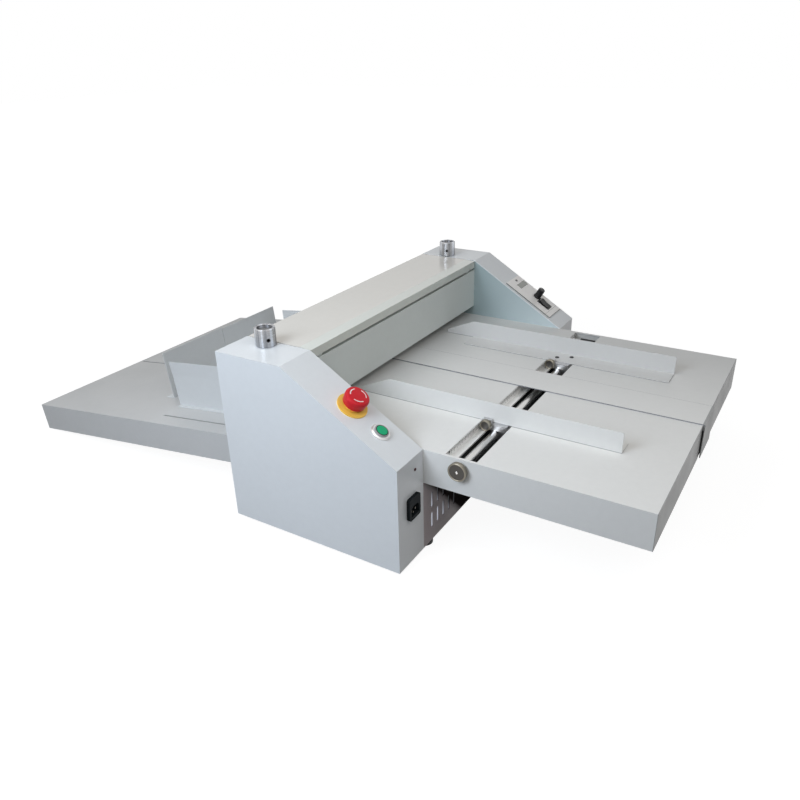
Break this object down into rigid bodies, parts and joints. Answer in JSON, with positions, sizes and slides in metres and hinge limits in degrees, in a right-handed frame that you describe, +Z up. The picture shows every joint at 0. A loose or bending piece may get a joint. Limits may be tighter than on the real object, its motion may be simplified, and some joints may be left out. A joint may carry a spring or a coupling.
{
  "type": "desktop paper creasing machine",
  "caption": "Desktop paper creasing machine: two side housings, a crossbeam over creasing rollers, a feed table with sliding guides and a sloping delivery tray with stops.",
  "frame": {"origin": "Centre of the bounding box on the ground plane under the feet.", "axes": "+X towards the control panel side, +Y from the operator's feed table to the delivery tray, +Z up."},
  "size_m": [0.784, 1.383, 0.3724],
  "materials": {
    "pale_paint": "satin",
    "cover_paint": "gloss",
    "frame_paint": "satin",
    "panel_paint": "satin",
    "plated_steel": "satin",
    "ground_steel": "polished",
    "turned_aluminium": "satin",
    "cast_block": "matte",
    "black_rubber": "matte",
    "ring_rubber": "matte",
    "black_plastic": "satin",
    "grey_plastic": "matte",
    "yellow_plastic": "gloss",
    "red_plastic": "gloss",
    "green_plastic": "gloss",
    "lamp_lens": "gloss",
    "chrome_bezel": "polished",
    "film_panel": "satin",
    "display_lens": "gloss",
    "motor_paint": "satin",
    "board_green": "satin",
    "knurled_metal": "satin"
  },
  "bodies": {
    "machine_frame": {"base_plate": "frame_paint", "left_housing": "pale_paint", "right_housing": "pale_paint", "left_side_frame": "frame_paint", "right_side_frame": "frame_paint", "vent_panel": "panel_paint", "rear_panel": "frame_paint", "front_guard": "frame_paint", "rear_guard": "frame_paint", "cover_hinge_pins": "plated_steel", "left_feed_table": "pale_paint", "centre_strip": "pale_paint", "right_feed_table": "pale_paint", "bar_brackets": "plated_steel", "ruler_rail": "turned_aluminium", "delivery_tray": "pale_paint", "rubber_feet": "black_rubber", "mains_inlet": "black_plastic", "power_lamp": "lamp_lens", "estop_ring": "yellow_plastic", "start_bezel": "chrome_bezel", "control_panel": "film_panel", "display_window": "display_lens", "drive_motor": "motor_paint", "drive_belt": "black_rubber", "control_board": "board_green", "lower_bearings": "ground_steel"},
    "cover": {"top_cover": "cover_paint"},
    "left_pressure": {"left_pressure_knob": "turned_aluminium", "left_pressure_screw": "plated_steel"},
    "right_pressure": {"right_pressure_knob": "turned_aluminium", "right_pressure_screw": "plated_steel"},
    "roller_lift": {"upper_bearing_blocks": "cast_block"},
    "upper_roller": {"upper_shaft": "ground_steel", "creasing_rings": "ground_steel", "feed_rings": "ring_rubber", "upper_gear": "ground_steel"},
    "lower_roller": {"lower_shaft": "ground_steel", "anvil_rings": "ground_steel", "lower_gear": "ground_steel", "shaft_pulley": "turned_aluminium"},
    "motor_rotor": {"motor_pulley": "turned_aluminium"},
    "stop_stem": {"estop_stem": "black_plastic"},
    "stop_head": {"estop_head": "red_plastic"},
    "start_key": {"start_button": "green_plastic"},
    "speed_dial": {"speed_knob": "black_plastic"},
    "rocker": {"rocker_switch": "black_plastic"},
    "reset_key": {"reset_button": "grey_plastic"},
    "lateral_dial": {"lateral_knob": "knurled_metal"},
    "bar": {"guide_bar": "ground_steel"},
    "left_guide": {"left_side_guide": "pale_paint", "left_carriage": "cast_block"},
    "left_wheel": {"left_clamp_wheel": "knurled_metal"},
    "right_guide": {"right_side_guide": "pale_paint", "right_carriage": "cast_block"},
    "right_wheel": {"right_clamp_wheel": "knurled_metal"},
    "left_stop": {"left_end_stop": "pale_paint"},
    "right_stop": {"right_end_stop": "pale_paint"},
    "left_cheek": {"left_tray_guide": "pale_paint"},
    "right_cheek": {"right_tray_guide": "pale_paint"}
  },
  "joints": [
    {"name": "cover_hinge", "type": "hinge", "parent": "machine_frame", "child": "cover", "pos_m": [0, 0.032, 0.334], "axis": [-1, 0, 0], "range_deg": [0, 100]},
    {"name": "left_pressure_turn", "type": "hinge", "parent": "machine_frame", "child": "left_pressure", "pos_m": [-0.3282, -0.019, 0.34], "axis": [0, 0, 1], "range_deg": [0, 720]},
    {"name": "right_pressure_turn", "type": "hinge", "parent": "machine_frame", "child": "right_pressure", "pos_m": [0.3282, -0.019, 0.34], "axis": [0, 0, 1], "range_deg": [0, 720]},
    {"name": "roller_lift_slide", "type": "slide", "parent": "machine_frame", "child": "roller_lift", "axis": [0, 0, 1], "range_m": [0, 0.003]},
    {"name": "upper_roller_spin", "type": "hinge", "parent": "roller_lift", "child": "upper_roller", "pos_m": [0, -0.019, 0.234], "axis": [1, 0, 0], "continuous": true},
    {"name": "lower_roller_spin", "type": "hinge", "parent": "machine_frame", "child": "lower_roller", "pos_m": [0, -0.019, 0.184], "axis": [1, 0, 0], "continuous": true},
    {"name": "motor_spin", "type": "hinge", "parent": "machine_frame", "child": "motor_rotor", "pos_m": [0, -0.166, 0.095], "axis": [1, 0, 0], "continuous": true},
    {"name": "stop_press", "type": "slide", "parent": "machine_frame", "child": "stop_stem", "axis": [0, 0.5186, -0.855], "range_m": [0, 0.005], "stiffness_N_per_m": 1500},
    {"name": "stop_twist", "type": "hinge", "parent": "stop_stem", "child": "stop_head", "pos_m": [-0.347, -0.21486, 0.29022], "axis": [0, -0.5186, 0.855], "range_deg": [0, 45], "stiffness_Nm_per_rad": 0.05},
    {"name": "start_press", "type": "slide", "parent": "machine_frame", "child": "start_key", "axis": [0, 0.5186, -0.855], "range_m": [0, 0.003], "stiffness_N_per_m": 600},
    {"name": "speed_turn", "type": "hinge", "parent": "machine_frame", "child": "speed_dial", "pos_m": [0.36, -0.23837, 0.25842], "axis": [0, -0.5186, 0.855], "range_deg": [-135, 135]},
    {"name": "rocker_tilt", "type": "hinge", "parent": "machine_frame", "child": "rocker", "pos_m": [0.356, -0.25958, 0.24614], "axis": [1, 0, 0], "range_deg": [-14, 0]},
    {"name": "reset_press", "type": "slide", "parent": "machine_frame", "child": "reset_key", "axis": [0, 0.5186, -0.855], "range_m": [0, 0.0015], "stiffness_N_per_m": 400},
    {"name": "lateral_turn", "type": "hinge", "parent": "machine_frame", "child": "lateral_dial", "pos_m": [-0.318, -0.3825, 0.19], "axis": [1, 0, 0], "range_deg": [-1080, 1080]},
    {"name": "bar_slide", "type": "slide", "parent": "machine_frame", "child": "bar", "axis": [1, 0, 0], "range_m": [-0.006, 0.006]},
    {"name": "left_guide_slide", "type": "slide", "parent": "bar", "child": "left_guide", "axis": [1, 0, 0], "range_m": [-0.095, 0.105]},
    {"name": "left_wheel_turn", "type": "hinge", "parent": "left_guide", "child": "left_wheel", "pos_m": [-0.186, -0.3675, 0.2075], "axis": [1, 0, 0], "range_deg": [0, 360]},
    {"name": "right_guide_slide", "type": "slide", "parent": "bar", "child": "right_guide", "axis": [1, 0, 0], "range_m": [-0.038, 0.11]},
    {"name": "right_wheel_turn", "type": "hinge", "parent": "right_guide", "child": "right_wheel", "pos_m": [0.115, -0.3675, 0.2075], "axis": [1, 0, 0], "range_deg": [0, 360]},
    {"name": "left_stop_slide", "type": "slide", "parent": "machine_frame", "child": "left_stop", "axis": [0, 0.9919, -0.1274], "range_m": [-0.04, 0.28]},
    {"name": "right_stop_slide", "type": "slide", "parent": "machine_frame", "child": "right_stop", "axis": [0, 0.9919, -0.1274], "range_m": [0, 0.28]},
    {"name": "left_cheek_slide", "type": "slide", "parent": "machine_frame", "child": "left_cheek", "axis": [0, 0.9919, -0.1274], "range_m": [-0.015, 0.2]},
    {"name": "right_cheek_slide", "type": "slide", "parent": "machine_frame", "child": "right_cheek", "axis": [0, 0.9919, -0.1274], "range_m": [-0.015, 0.045]}
  ],
  "couplings": [
    {"joint": "upper_roller_spin", "follows": "lower_roller_spin", "ratio": -1},
    {"joint": "motor_spin", "follows": "lower_roller_spin", "ratio": 2},
    {"joint": "left_pressure_turn", "follows": "roller_lift_slide", "rad_per_m": 4188.4},
    {"joint": "right_pressure_turn", "follows": "roller_lift_slide", "rad_per_m": 4188.4},
    {"joint": "bar_slide", "follows": "lateral_turn", "m_per_rad": 0.00031828}
  ]
}
